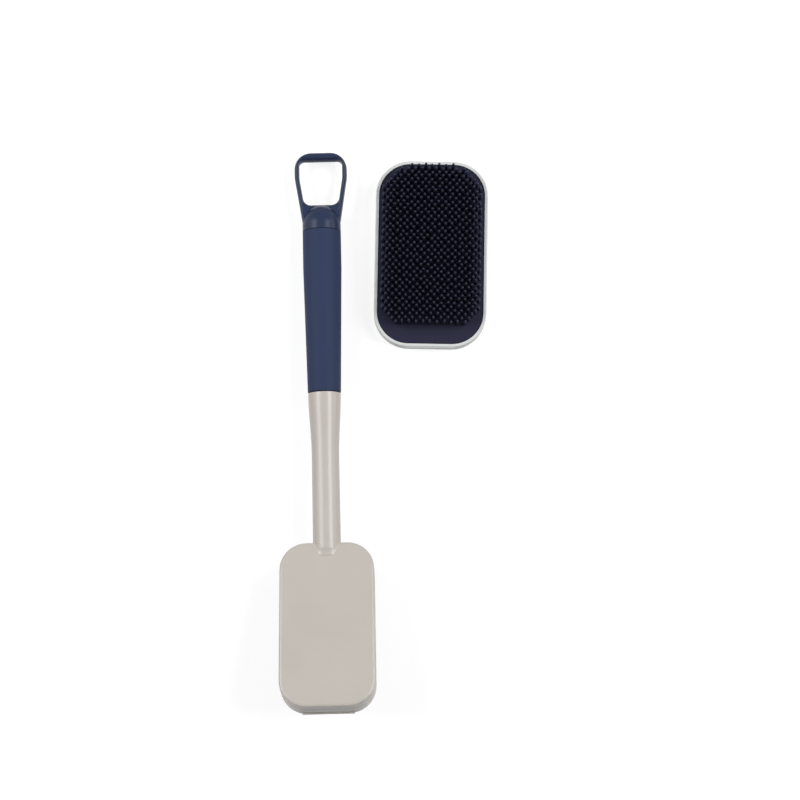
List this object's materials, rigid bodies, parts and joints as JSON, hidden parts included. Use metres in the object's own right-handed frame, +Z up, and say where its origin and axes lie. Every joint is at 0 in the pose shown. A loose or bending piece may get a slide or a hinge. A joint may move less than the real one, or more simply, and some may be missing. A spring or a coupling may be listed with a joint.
{
  "type": "dish brush",
  "caption": "Dish brush: round handle with soft grip and hang loop, flat paddle carrying a slide-on rubber bristle head, and a spare head lying beside it.",
  "frame": {"origin": "middle of the footprint of the brush and its spare head, on the surface they lie on", "axes": "+Y from the brush's head towards its hang loop, +Z up, the spare head at +X"},
  "size_m": [0.1158, 0.3001, 0.0508],
  "materials": {
    "grey_plastic": "satin moulded, warm light grey",
    "grip_rubber": "soft-touch navy, slightly satin",
    "loop_plastic": "glossy dark navy",
    "pad_rubber": "matte dark navy rubber"
  },
  "bodies": {
    "handle": {"handle_core": "grey_plastic", "grip_sleeve": "grip_rubber", "hang_loop": "loop_plastic"},
    "head": {"head_frame": "grey_plastic", "bristle_pad": "pad_rubber"},
    "spare_head": {"spare_head_frame": "grey_plastic", "spare_bristle_pad": "pad_rubber"}
  },
  "joints": [
    {"name": "head_slide", "type": "slide", "parent": "handle", "child": "head", "axis": [0, -0.9504, 0.3109], "range_m": [0, 0.08]},
    {"name": "spare_lift", "type": "slide", "parent": "handle", "child": "spare_head", "axis": [0, 0, 1], "range_m": [0, 0.1]}
  ]
}
